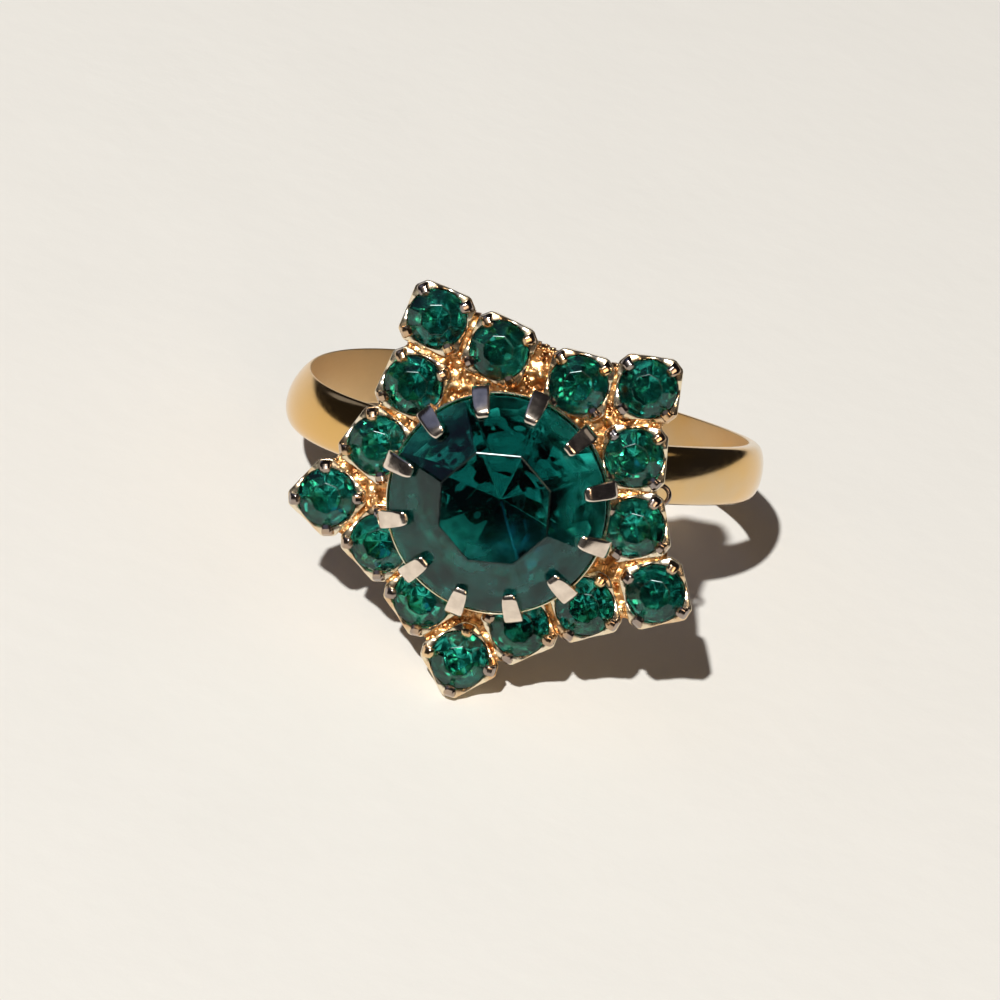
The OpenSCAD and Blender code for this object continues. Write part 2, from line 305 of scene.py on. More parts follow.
def loft(rings):
    # closed rings of equal length, skinned and capped at both ends
    count = len(rings[0])
    points = [point for ring in rings for point in ring]
    faces = [tuple(range(count - 1, -1, -1)), tuple(range(len(points) - count, len(points)))]
    for step in range(len(rings) - 1):
        for spot in range(count):
            after = (spot + 1) % count
            here = step * count
            faces.append((here + spot, here + after, here + count + after, here + count + spot))
    return points, faces


def finishPiece(name, mesh, slotName, *replaced):
    # lays a mesh from the head's axes into the world, hangs it under the root body and hides the CAD parts it
    # replaces
    mesh.transform(headToWorld)
    for vert in mesh.vertices:
        vert.co.z = max(vert.co.z, floorHeight)  # worn flat where it lies
    mesh.name = name
    piece = bpy.data.objects.new(name, mesh)
    bpy.context.scene.collection.objects.link(piece)
    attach(piece, "root")
    if replaced:
        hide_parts(*replaced)
    print("made", name, len(mesh.polygons), "faces")


def newTree(name, inputs):
    # a socket for each input, of the kind float, int, object or material
    tree = bpy.data.node_groups.new(name, "GeometryNodeTree")
    tree.interface.new_socket(name="Geometry", in_out="INPUT", socket_type="NodeSocketGeometry")
    for label, kind in inputs.items():
        tree.interface.new_socket(name=label, in_out="INPUT", socket_type="NodeSocket" + kind.capitalize())
    tree.interface.new_socket(name="Geometry", in_out="OUTPUT", socket_type="NodeSocketGeometry")
    return tree, addNode(tree, "NodeGroupInput").outputs, addNode(tree, "NodeGroupOutput")


def runTree(name, tree, values, start=None):
    # evaluates a tree on a plain mesh and keeps the result as a mesh of its own
    host = bpy.data.objects.new(name + "Host", start or bpy.data.meshes.new(name + "Host"))
    bpy.context.scene.collection.objects.link(host)
    modifier = host.modifiers.new(name, "NODES")
    modifier.node_group = tree
    for item in tree.interface.items_tree:
        if item.in_out == "INPUT" and item.name in values:
            modifier[item.identifier] = values[item.name]
    bpy.context.view_layer.update()
    graph = bpy.context.evaluated_depsgraph_get()
    mesh = bpy.data.meshes.new_from_object(host.evaluated_get(graph))
    host.modifiers.remove(modifier)
    bpy.data.objects.remove(host)
    return mesh


def partOnSpotsTree():
    # puts one part on every point of the start mesh, turned by its heading, with a small random lean
    tree, given, result = newTree("partOnSpots", {
        "Part": "object", "Lean": "float", "Seed": "int",
        "Material": "material", "Back Material": "material", "Edge Material": "material",
    })
    part = shaderNode(tree, "GeometryNodeObjectInfo", {"Object": given["Part"]})
    heading = shaderNode(tree, "GeometryNodeInputNamedAttribute", {"Name": "heading"}, data_type="FLOAT")
    back = arithmetic(tree, "MULTIPLY", given["Lean"], -1.0)
    leans = []
    for offset in (0, 1):
        seed = arithmetic(tree, "ADD", given["Seed"], float(offset))
        leans.append(shaderNode(
            tree, "FunctionNodeRandomValue", {2: back, 3: given["Lean"], "Seed": seed}, data_type="FLOAT"
        ).outputs[1])
    turn = shaderNode(
        tree, "ShaderNodeCombineXYZ", {"X": leans[0], "Y": leans[1], "Z": heading.outputs["Attribute"]}
    )
    placed = shaderNode(tree, "GeometryNodeInstanceOnPoints", {
        "Points": given["Geometry"], "Instance": part.outputs["Geometry"], "Rotation": turn.outputs["Vector"],
    })
    real = shaderNode(tree, "GeometryNodeRealizeInstances", {"Geometry": placed.outputs["Instances"]})
    front = shaderNode(
        tree, "GeometryNodeSetMaterial", {"Geometry": real.outputs["Geometry"], "Material": given["Material"]}
    )
    geometry = front.outputs["Geometry"]
    for mark, label in (("behind", "Back Material"), ("worn", "Edge Material")):
        chosen = shaderNode(tree, "GeometryNodeInputNamedAttribute", {"Name": mark}, data_type="BOOLEAN")
        geometry = shaderNode(tree, "GeometryNodeSetMaterial", {
            "Geometry": geometry, "Material": given[label], "Selection": chosen.outputs["Attribute"],
        }).outputs["Geometry"]
    tree.links.new(geometry, result.inputs["Geometry"])
    return tree


partOnSpots = partOnSpotsTree()


def spotMesh(name, spots, headings):
    mesh = bpy.data.meshes.new(name)
    mesh.from_pydata([tuple(spot) for spot in spots], [], [])
    mesh.attributes.new("heading", "FLOAT", "POINT").data.foreach_set("value", headings)
    return mesh


def repeatPart(name, partMesh, spots, headings, metal, lean=0.0, seed=1, behind=None, worn=None):
    part = bpy.data.objects.new(name + "Part", partMesh)
    bpy.context.scene.collection.objects.link(part)
    mesh = runTree(name, partOnSpots, {
        "Part": part, "Lean": math.radians(lean), "Seed": seed,
        "Material": metal, "Back Material": behind or metal, "Edge Material": worn or metal,
    }, spotMesh(name + "Spots", spots, headings))
    bpy.data.objects.remove(part)
    return mesh


# Where the stones lie
stones = {
    # sizes in mm, apart from the table and the edge, which are shares of the radius
    "crown": 0.42, "point": 0.92, "table": 0.54, "edge": 0.03, "sides": 48, "bevel": 0.022,
    "lean": 3.0, "seed": 4,
    # the glass, and the roughness and gloss of its facets and of the table's worn edges
    "density": 1000, "colour": (0.02, 0.955, 0.89), "facets": (0.01, 0.45), "edges": (0.25, 1.0),
    # the foil's creases, its roughness, and its darkest and palest colour
    "crease": 0.62, "creaseDepth": 0.08, "rough": (0.03, 0.2),
    "foil": ((0.10, 0.30, 0.30), (0.95, 1.0, 0.96)),
}
centre = {
    "crown": 1.4, "point": 2.9, "table": 0.54, "edge": 0.03, "sides": 96, "bevel": 0.05,
    "lean": 0.0, "seed": 1,
    "density": 400, "colour": (0.02, 0.87, 0.84), "facets": (0.01, 1.1), "edges": (0.24, 1.0),
    "crease": 0.8, "creaseDepth": 0.03, "rough": (0.05, 0.34),
    "foil": ((0.08, 0.17, 0.18), (0.85, 1.0, 0.97)),
    # painted shade on the foil, in mm from the middle of the stone: the darkest spot, how far it stays dark,
    # and where it is clear of it
    "paintedShade": {"spot": (-0.4, 1.0, -1.5), "dark": 1.9, "clear": 2.9},
}
centrePlace = stonePlace("centre_stone", centre["point"])
places = [stonePlace(name, stones["point"]) for name in stoneNames]
middle = centrePlace["spot"]


def cupHeading(index):
    # a cup faces along the strip that it is part of, and the star's five tips are turned by an eighth
    before = places[index - 1]["spot"]
    here = places[index]["spot"]
    after = places[(index + 1) % len(places)]["spot"]
    along = after - before
    reach = [math.hypot(spot.x - middle.x, spot.y - middle.y) for spot in (before, here, after)]
    isTip = reach[1] > max(reach[0], reach[2])
    return math.atan2(along.y, along.x) + (math.pi / 4 if isTip else 0)


cupSpots = [place["spot"] for place in places]
cupHeadings = [cupHeading(index) for index in range(len(places))]


# Cut stones
glassLook = {
    "tint": (0.8, 1, 0.97, 1), "shine": (0.78, 1, 1, 1), "refraction": 1.58,
    "waves": (1.6, 1), "waveDepth": 0.003,
}
# the grains are wider than the creases by this, and where a foil has painted shade round a spot, this share
# of its shade grain is evened out
foilLook = {"shadeWider": 1.6, "roughWider": 1.5, "evened": 0.5}
cutLook = {"ridgeAngle": 12, "bevelSteps": 4, "facets": 17, "nearly": 0.99, "facesBack": -0.3}


def greenGlass(name, look, surface):
    # light that goes in through the crown is coloured on its way to the foil and back
    rough, gloss = surface
    material, tree, shader = newMaterial(name, **{
        "Metallic": 0.0, "Roughness": rough, "IOR": glassLook["refraction"], "Transmission Weight": 1.0,
        "Base Color": glassLook["tint"], "Specular IOR Level": gloss, "Specular Tint": glassLook["shine"],
    })
    bumps(tree, shader, grain(tree, *glassLook["waves"]), glassLook["waveDepth"])
    inside = shaderNode(tree, "ShaderNodeVolumeAbsorption", {
        "Color": (*look["colour"], 1), "Density": look["density"],
    })
    tree.links.new(inside.outputs["Volume"], tree.nodes["Material Output"].inputs["Volume"])
    return material


def foil(name, look):
    # the mirror foil behind each stone's point, crumpled, and darkened with painted shade and made smooth
    # round one spot
    material, tree, shader = newMaterial(name, Metallic=1.0)
    place = addNode(tree, "ShaderNodeTexCoord").outputs["Object"]
    size = look["crease"]
    creases = shaderNode(tree, "ShaderNodeTexVoronoi", {"Vector": place, "Scale": mmPerMetre / size})
    shade = spread(tree, grain(tree, size * foilLook["shadeWider"], 2), 0.0, 1.0)
    rough = spread(tree, grain(tree, size * foilLook["roughWider"], 3), *look["rough"])
    # painted shade round one spot: the foil's colour goes dark there, and it is smooth there too
    if "paintedShade" in look:
        paintedShade = look["paintedShade"]
        spot = headToWorld @ (middle + Vector(paintedShade["spot"]))
        away = shaderNode(tree, "ShaderNodeVectorMath", {0: place, 1: spot}, operation="DISTANCE")
        clear = shaderNode(tree, "ShaderNodeMapRange", {
            "Value": away.outputs["Value"],
            "From Min": paintedShade["dark"] / mmPerMetre,
            "From Max": paintedShade["clear"] / mmPerMetre,
        }).outputs["Result"]
        shade = arithmetic(tree, "MULTIPLY", shade, 1 - foilLook["evened"])
        shade = arithmetic(tree, "ADD", shade, foilLook["evened"])
        shade = arithmetic(tree, "MULTIPLY", clear, shade)
        rough = arithmetic(tree, "MULTIPLY", rough, clear)
    dark, bright = look["foil"]
    feed(tree, shader, "Base Color", colourSteps(tree, shade, [(0.0, dark), (1.0, bright)]))
    feed(tree, shader, "Roughness", rough)
    bumps(tree, shader, creases.outputs["Distance"], look["creaseDepth"])
    return material


def cutStone(name, shape, radius):
    # a table, eight crown facets, a round edge and eight facets down to the point
    bevel = shape["bevel"]
    edge = shape["edge"] * radius
    table = radius * shape["table"]
    crownSlope = (shape["crown"] - edge) / (radius - table * math.cos(math.pi / 8))
    pointSlope = (shape["point"] - edge) / radius
    points = [(0, 0, -shape["point"])]
    points += [(table * math.cos(k * math.pi / 4), table * math.sin(k * math.pi / 4), shape["crown"])
               for k in range(8)]
    sides = shape["sides"]
    upper, lower = [], []
    for k in range(sides):
        turn = 2 * math.pi * k / sides
        off = math.pi / 8 - turn % (math.pi / 4)
        inside = radius * (1 - math.cos(off))
        x, y = radius * math.cos(turn), radius * math.sin(turn)
        upper.append(len(points))
        points.append((x, y, edge + crownSlope * inside))
        lower.append(len(points))
        points.append((x, y, -edge - pointSlope * inside))
    share = sides // 8
    faces = [tuple(range(1, 9))]
    for k in range(8):
        arc = [(k * share + step) % sides for step in range(share + 1)]
        faces.append((1 + (k + 1) % 8, 1 + k, *[upper[step] for step in arc]))
        faces.append((0, *[lower[step] for step in reversed(arc)]))
    for k in range(sides):
        after = (k + 1) % sides
        faces.append((lower[k], lower[after], upper[after], upper[k]))
    mesh = meshFrom(name, points, faces)
    cut = bmesh.new()
    cut.from_mesh(mesh)
    ridgeAngle = math.radians(cutLook["ridgeAngle"])
    ridges = [line for line in cut.edges if line.calc_face_angle(0) > ridgeAngle]
    bmesh.ops.bevel(
        cut, geom=ridges, offset=bevel, segments=cutLook["bevelSteps"], profile=0.5, affect="EDGES",
        clamp_overlap=True,
    )
    # the largest faces are the facets, and all that are smaller are bevels
    areas = sorted(face.calc_area() for face in cut.faces)
    bevelArea = areas[-cutLook["facets"]] * cutLook["nearly"]
    for line in cut.edges:
        line.smooth = all(face.calc_area() < bevelArea for face in line.link_faces)
    behind = [face.normal.z < cutLook["facesBack"] for face in cut.faces]
    tableEdge = shape["crown"] - 2 * bevel
    worn = [face.calc_area() < bevelArea and face.calc_center_median().z > tableEdge for face in cut.faces]
    cut.to_mesh(mesh)
    cut.free()
    mesh.attributes.new("behind", "BOOLEAN", "FACE").data.foreach_set("value", behind)
    mesh.attributes.new("worn", "BOOLEAN", "FACE").data.foreach_set("value", worn)
    return mesh


def makeStones(name, prefix, look, radius, spots, turns, replaced):
    part = cutStone(prefix + "Cut", look, radius)
    glass = greenGlass(prefix + "Glass", look, look["facets"])
    edges = greenGlass(prefix + "Edges", look, look["edges"])
    back = foil(prefix + "Foil", look)
    mesh = repeatPart(name, part, spots, turns, glass, look["lean"], look["seed"], back, edges)
    finishPiece(name, mesh, "green_glass", *replaced)


stoneTurns = [place["turn"] for place in places]
makeStones("starStones", "small", stones, places[0]["radius"], cupSpots, stoneTurns, stoneNames)
makeStones(
    "centreStone", "centre", centre, centrePlace["radius"], [middle], [centrePlace["turn"]], ["centre_stone"]
)

# Square cups
cup = {
    "side": 2.56, "corner": 0.36, "narrowing": 0.12, "depth": 1.265, "inset": 0.4, "soften": 0.035,
    "rim": 0.04, "dip": 0.14, "dipRadius": 0.8,
    # the plate under the cup, and the hollow inside it, down to the rings of its seat
    "plate": 0.4, "plateTaper": 0.1, "plateEdge": 0.05,
    "room": 1.18, "lip": 0.02, "seat": [(1.18, -0.35), (1.03, -0.45), (0.85, -0.965)],
    "steps": 96, "lean": 0.6, "seed": 11,
}


def squareReach(turn, side, corner):
    # distance from the middle to the outline of a square with cut corners
    flats = [(k * math.pi / 2, side / 2) for k in range(4)]
    flats += [(math.pi / 4 + k * math.pi / 2, (side - corner) / math.sqrt(2)) for k in range(4)]
    return min(away / math.cos(turn - facing) for facing, away in flats if math.cos(turn - facing) > 0)


def cupMesh():
    turns = [2 * math.pi * k / cup["steps"] for k in range(cup["steps"])]

    def rimHeight(x, y):
        height = cup["rim"]
        for across in (x, y):
            if abs(across) < cup["dipRadius"]:
                arc = math.sqrt(cup["dipRadius"] ** 2 - across ** 2)
                height = min(height, cup["rim"] - cup["dip"] + cup["dipRadius"] - arc)
        return height

    def ring(reaches, height, drop):
        # without a height, the ring follows the rim
        points = []
        for turn, reach in zip(turns, reaches):
            x, y = reach * math.cos(turn), reach * math.sin(turn)
            points.append((x, y, (rimHeight(x, y) if height is None else height) - drop))
        return points

    def squareRing(side, height=None, pull=0.0, drop=0.0):
        return ring([squareReach(turn, side, cup["corner"]) - pull for turn in turns], height, drop)

    def roundRing(radius, height=None, drop=0.0):
        return ring([radius] * len(turns), height, drop)

    side, soft, foot = cup["side"], cup["soften"], -cup["depth"]
    under = side - 2 * cup["inset"]
    narrow = side - 2 * cup["narrowing"]
    rings = [
        squareRing(under - cup["plateTaper"], foot - cup["plate"]),
        squareRing(under, foot - cup["plate"] + cup["plateEdge"]),
        squareRing(under, foot),
        squareRing(narrow, foot, pull=soft),
        squareRing(narrow, foot + soft),
        squareRing(side, drop=2 * soft),
        squareRing(side, pull=0.3 * soft, drop=0.7 * soft),
        squareRing(side, pull=soft),
        roundRing(cup["room"] + cup["lip"]),
        roundRing(cup["room"], drop=soft),
    ]
    rings += [roundRing(radius, height) for radius, height in cup["seat"]]
    return meshFrom("cupPart", *loft(rings), smoothBelow=50)


def makeCups():
    mesh = repeatPart(
        "squareCups", cupMesh(), cupSpots, cupHeadings, metals["cupGold"], cup["lean"], cup["seed"]
    )
    finishPiece("squareCups", mesh, "gold_plate", "ring_frame")


makeCups()

# Claws
smallClaw = {
    # distance out, height, width and thickness along the claw
    "path": [
        (1.36, -0.95, 0.60, 0.10), (1.405, -0.35, 0.58, 0.16), (1.42, 0.02, 0.52, 0.19),
        (1.40, 0.24, 0.47, 0.21), (1.32, 0.37, 0.45, 0.21), (1.20, 0.40, 0.43, 0.20),
        (1.10, 0.345, 0.40, 0.18), (1.02, 0.27, 0.33, 0.14), (0.97, 0.22, 0.18, 0.07),
    ],
    "sides": 12, "squareness": 2.8, "lean": 1.0, "seed": 21,
}
centreClaw = {
    "path": [
        (3.58, -1.32, 0.72, 0.24), (4.05, -0.86, 0.72, 0.30), (4.44, -0.42, 0.72, 0.31),
        (4.57, -0.16, 0.72, 0.31), (4.575, 0.06, 0.72, 0.31), (4.50, 0.20, 0.72, 0.30),
        (4.38, 0.30, 0.72, 0.29), (3.98, 0.585, 0.66, 0.28), (3.74, 0.745, 0.60, 0.27),
        (3.60, 0.80, 0.52, 0.22), (3.52, 0.80, 0.40, 0.15), (3.48, 0.79, 0.22, 0.07),
    ],
    "sides": 16, "squareness": 7.0, "count": 12, "firstTurn": 18, "lean": 0.5, "seed": 31,
}


def squaredCircle(turn, squareness):
    # 2 gives a circle, and more comes nearer to a square
    power = 2 / squareness
    return [math.copysign(abs(part) ** power, part) for part in (math.cos(turn), math.sin(turn))]


def clawMesh(name, claw):
    rings = []
    path = claw["path"]
    for index, (out, height, width, thickness) in enumerate(path):
        before, after = path[max(0, index - 1)], path[min(len(path) - 1, index + 1)]
        along = Vector((after[0] - before[0], after[1] - before[1])).normalized()
        ring = []
        for k in range(claw["sides"]):
            wide, thick = squaredCircle(2 * math.pi * (k + 0.5) / claw["sides"], claw["squareness"])
            wide, thick = wide * width / 2, thick * thickness / 2
            ring.append((out - along.y * thick, wide, height + along.x * thick))
        rings.append(ring)
    return meshFrom(name, *loft(rings), smoothBelow=34)


def makeClaws():
    spots = [spot for spot in cupSpots for k in range(4)]
    headings = [heading + math.pi / 4 + k * math.pi / 2 for heading in cupHeadings for k in range(4)]
    mesh = repeatPart(
        "smallClaws", clawMesh("smallClawPart", smallClaw), spots, headings, metals["clawGrey"],
        smallClaw["lean"], smallClaw["seed"],
    )
    finishPiece("smallClaws", mesh, "gold_plate", "ring_frame")
    count = centreClaw["count"]
    turns = [math.radians(centreClaw["firstTurn"] + 360 * k / count) for k in range(count)]
    mesh = repeatPart(
        "centreClaws", clawMesh("centreClawPart", centreClaw), [middle] * count, turns,
        metals["clawSilver"], centreClaw["lean"], centreClaw["seed"],
    )
    finishPiece("centreClaws", mesh, "silver_plate", "centre_setting")


makeClaws()

# Collar under the centre stone
collar = {"steps": 96, "profile": [
    (3.0, -3.175), (3.54, -3.175), (3.70, -3.015), (3.70, -1.33), (4.12, -0.8), (4.37, -0.34), (4.40, -0.16),
    (4.385, -0.06), (4.35, -0.04), (4.31, -0.06), (4.29, -0.10), (4.285, -0.45), (3.9, -0.75), (3.3, -1.33),
    (3.3, -2.9),
]}


def collarMesh():
    turns = [2 * math.pi * k / collar["steps"] for k in range(collar["steps"])]
    rings = [[(radius * math.cos(turn), radius * math.sin(turn), height) for turn in turns]
             for radius, height in collar["profile"]]
    mesh = meshFrom("collarPart", *loft(rings), smoothBelow=42)
    mesh.transform(Matrix.Translation(middle))
    mesh.materials.append(metals["cupGold"])
    return mesh


finishPiece("centreCollar", collarMesh(), "silver_plate", "centre_setting")

# Rough filler between the cups
filler = {
    "cell": 0.075, "margin": 1.2, "drop": 0.2, "depth": 1.25,
    "strip": 0.77, "roomRadius": 1.2, "wellRadius": 3.74,
    # three noises, each on a level of its own
    "pebble": 0.34, "pebbleHeight": 0.16, "pebbleReach": 0.75, "pebbleSunk": 0.6, "pebbleLevel": 0.3,
    "swell": 0.12, "swellsPerMm": 1.4, "swellLevel": 7.0,
    "fine": 0.04, "finePerMm": 6.0, "fineLevel": 2.0,
    # relief tells the metal's colour how high a spot is: painted shade low down, painted highlight high up,
    # and painted shade on the walls
    "reliefMiddle": 0.5, "reliefRange": 0.3, "sideRelief": 0.2,
}
looseGrains = {
    # the grains get a high relief, which paints highlights on them
    "perSquareMm": 14.0, "size": 0.065, "seed": 5, "leastUpward": 0.45, "relief": 0.85,
    "least": (0.5, 0.5, 0.4), "most": (1.7, 1.3, 1.1), "sizeSeed": 3,
    "mostTurned": (0.6, 0.6, 6.28), "turnSeed": 8,
}


def insideOutline(x, y, outline):
    inside = False
    for index in range(len(outline)):
        a, b = outline[index - 1], outline[index]
        if (a.y > y) != (b.y > y) and x < (b.x - a.x) * (y - a.y) / (b.y - a.y) + a.x:
            inside = not inside
    return inside


def stripDistance(x, y, outline):
    nearest = math.inf
    for index in range(len(outline)):
        a, b = outline[index - 1], outline[index]
        dx, dy = b.x - a.x, b.y - a.y
        share = max(0.0, min(1.0, ((x - a.x) * dx + (y - a.y) * dy) / (dx * dx + dy * dy)))
        nearest = min(nearest, math.hypot(x - a.x - share * dx, y - a.y - share * dy))
    return nearest


def fillerHeight(x, y):
    # rounded pebbles of cast metal on a swelling bed
    near = noise.voronoi(Vector((x, y, filler["pebbleLevel"])) / filler["pebble"])[0][0]
    pebble = math.sqrt(max(0.0, 1 - (near / filler["pebbleReach"]) ** 2))
    swell = noise.noise(Vector((x, y, filler["swellLevel"])) * filler["swellsPerMm"])
    fine = noise.noise(Vector((x, y, filler["fineLevel"])) * filler["finePerMm"])
    height = filler["pebbleHeight"] * (pebble - filler["pebbleSunk"])
    return height + filler["swell"] * swell + filler["fine"] * fine


def fillerMesh():
    cell, margin = filler["cell"], filler["margin"]
    top = places[0]["spot"].z - filler["drop"]
    xs = [spot.x for spot in cupSpots]
    ys = [spot.y for spot in cupSpots]
    firstX, firstY = min(xs) - margin, min(ys) - margin
    across, down = int((max(xs) + margin - firstX) / cell), int((max(ys) + margin - firstY) / cell)

    def filled(x, y):
        if math.hypot(x - middle.x, y - middle.y) < filler["wellRadius"]:
            return False
        if min(math.hypot(x - spot.x, y - spot.y) for spot in cupSpots) < filler["roomRadius"]:
            return False
        return insideOutline(x, y, cupSpots) or stripDistance(x, y, cupSpots) < filler["strip"]

    points, relief, faces, known = [], [], [], {}

    def corner(i, j):
        if (i, j) not in known:
            x, y = firstX + i * cell, firstY + j * cell
            rise = fillerHeight(x, y)
            known[(i, j)] = len(points)
            points.append((x, y, top + rise))
            # the height sets the painted shade in the hollows and the painted highlights on the pebbles
            relief.append(min(1.0, max(0.0, filler["reliefMiddle"] + rise / filler["reliefRange"])))
        return known[(i, j)]

    for i in range(across):
        for j in range(down):
            if filled(firstX + (i + 0.5) * cell, firstY + (j + 0.5) * cell):
                faces.append((corner(i, j), corner(i + 1, j), corner(i + 1, j + 1), corner(i, j + 1)))
    print("filler bed has", len(points), "points")
    # walls go down from each side that only one cell has
    sides = dict.fromkeys((face[k], face[(k + 1) % 4]) for face in faces for k in range(4))
    low = {}
    for a, b in sides:
        if (b, a) in sides:
            continue
        for spot in (a, b):
            if spot not in low:
                low[spot] = len(points)
                points.append((points[spot][0], points[spot][1], top - filler["depth"]))
                # the walls going down get a low relief: painted shade
                relief.append(filler["sideRelief"])
        faces.append((b, a, low[a], low[b]))
    mesh = bpy.data.meshes.new("fillerBed")
    mesh.from_pydata(points, [], faces)
    mesh.attributes.new("relief", "FLOAT", "POINT").data.foreach_set("value", relief)
    mesh.shade_smooth()
    return mesh


def grainsTree():
    # scatters small rough grains over the bed
    tree, given, result = newTree("looseGrains", {
        "Density": "float", "Grain Size": "float", "Seed": "int", "Material": "material",
    })
    normal = addNode(tree, "GeometryNodeInputNormal").outputs[0]
    upward = shaderNode(tree, "ShaderNodeSeparateXYZ", {"Vector": normal}).outputs["Z"]
    facing = arithmetic(tree, "GREATER_THAN", upward, looseGrains["leastUpward"])
    points = shaderNode(tree, "GeometryNodeDistributePointsOnFaces", {
        "Mesh": given["Geometry"], "Density": given["Density"], "Seed": given["Seed"], "Selection": facing,
    })
    ball = shaderNode(tree, "GeometryNodeMeshIcoSphere", {"Radius": given["Grain Size"], "Subdivisions": 1})
    size = shaderNode(tree, "FunctionNodeRandomValue", {
        0: looseGrains["least"], 1: looseGrains["most"], "Seed": looseGrains["sizeSeed"],
    }, data_type="FLOAT_VECTOR")
    turn = shaderNode(tree, "FunctionNodeRandomValue", {
        0: (0, 0, 0), 1: looseGrains["mostTurned"], "Seed": looseGrains["turnSeed"],
    }, data_type="FLOAT_VECTOR")
    placed = shaderNode(tree, "GeometryNodeInstanceOnPoints", {
        "Points": points.outputs["Points"], "Instance": ball.outputs["Mesh"], "Scale": size.outputs["Value"],
        "Rotation": turn.outputs["Value"],
    })
    real = shaderNode(tree, "GeometryNodeRealizeInstances", {"Geometry": placed.outputs["Instances"]})
    # the grains' relief paints highlights on them
    high = shaderNode(tree, "GeometryNodeStoreNamedAttribute", {
        "Geometry": real.outputs["Geometry"], "Name": "relief", "Value": looseGrains["relief"],
    }, data_type="FLOAT", domain="POINT")
    smooth = shaderNode(tree, "GeometryNodeSetShadeSmooth", {"Geometry": high.outputs["Geometry"]})
    painted = shaderNode(tree, "GeometryNodeSetMaterial", {
        "Geometry": smooth.outputs["Geometry"], "Material": given["Material"],
    })
    tree.links.new(painted.outputs["Geometry"], result.inputs["Geometry"])
    return tree


def makeFiller():
    bed = fillerMesh()
    grains = runTree("looseGrains", grainsTree(), {
        "Density": looseGrains["perSquareMm"], "Grain Size": looseGrains["size"],
        "Seed": looseGrains["seed"], "Material": metals["starGold"],
    }, bed.copy())
    bed.materials.append(metals["starGold"])
    finishPiece("starFiller", bed, "gold_plate", "ring_frame")
    finishPiece("fillerGrains", grains, "gold_plate", "ring_frame")


makeFiller()

# Plate under the cups, the solder that joins it to the band, and the link tab
plate = {"low": 10.1, "high": 10.52, "bevel": 0.08}
solder = {
    "length": 5.2, "width": 1.92, "high": 10.14, "bore": 9.26, "steps": 40, "sides": 20, "squareness": 4,
    "endWidth": 0.6, "endPower": 6, "uneven": 0.05, "unevenPerMm": 1.3,
}
linkTab = {"between": (4, 5), "ring": 0.38, "wire": 0.1, "sunk": 0.85, "drop": 0.63, "steps": (32, 12)}


def plateMesh():
    edge = plate["bevel"]

    def outline(shrink, height):
        ring = []
        for spot in cupSpots:
            way = Vector((spot.x - middle.x, spot.y - middle.y))
            way *= 1 - shrink / way.length
            ring.append((middle.x + way.x, middle.y + way.y, height))
        return ring

    low, high = plate["low"], plate["high"]
    rings = [outline(edge, low), outline(0, low + edge), outline(0, high)]
    mesh = meshFrom("starPlate", *loft(rings))
    mesh.materials.append(metals["cupGold"])
    return mesh


def solderMesh():
    endWidth, high = solder["endWidth"], solder["high"]
    rings = []
    for step in range(solder["steps"] + 1):
        share = 2 * step / solder["steps"] - 1
        x = share * solder["length"] / 2
        fade = math.sqrt(1 - abs(share) ** solder["endPower"])
        uneven = 1 + solder["uneven"] * noise.noise(Vector((x * solder["unevenPerMm"], 0, 0)))
        half = solder["width"] / 2 * (endWidth + (1 - endWidth) * fade) * uneven
        low = math.sqrt(solder["bore"] ** 2 - x * x)
        ring = []
        for k in range(solder["sides"]):
            wide, tall = squaredCircle(2 * math.pi * (k + 0.5) / solder["sides"], solder["squareness"])
            ring.append((x, half * wide, (low + high) / 2 + (high - low) / 2 * tall))
        rings.append(ring)
    mesh = meshFrom("solder", *loft(rings), smoothBelow=60)
    mesh.materials.append(metals["starGold"])
    return mesh


def linkTabMesh():
    a, b = (cupSpots[index] for index in linkTab["between"])
    around, about = linkTab["steps"]
    out = cup["side"] / 2 - linkTab["sunk"] * linkTab["ring"]
    at = (a + b) / 2 + Vector((out, 0, -linkTab["drop"]))
    points, faces = [], []
    for i in range(around):
        turn = 2 * math.pi * i / around
        for j in range(about):
            lean = 2 * math.pi * j / about
            reach = linkTab["ring"] + linkTab["wire"] * math.cos(lean)
            points.append((at.x + reach * math.cos(turn), at.y + reach * math.sin(turn),
                           at.z + linkTab["wire"] * math.sin(lean)))
            nextI, nextJ = (i + 1) % around, (j + 1) % about
            faces.append((i * about + j, nextI * about + j, nextI * about + nextJ, i * about + nextJ))
    mesh = meshFrom("linkTab", points, faces)
    mesh.materials.append(metals["clawGrey"])
    return mesh


finishPiece("starPlate", plateMesh(), "gold_plate", "ring_frame")
finishPiece("solder", solderMesh(), "gold_plate", "ring_frame")
finishPiece("linkTab", linkTabMesh(), "gold_plate", "ring_frame")

# Band
band = {
    # Skew, Tip, Ridge and Worn act on the left side, which is thinner with a ridge above its middle
    "Radius": 9.25, "Width": 2.4, "Thickness": 0.8, "Fullness": 0.62, "Stray": 0.27,
    "Skew": 0.6, "Tip": -0.55, "Ridge": 0.9, "Worn": 0.2,
}
bandSection = {
    "around": 181, "across": 49, "rimHeight": 0.06, "rimPower": 0.12, "tipMiddle": 0.25, "skewPower": 2.0,
    "straysPerTurn": 2.0, "insideBelow": -0.01, "weld": 0.0005,
}


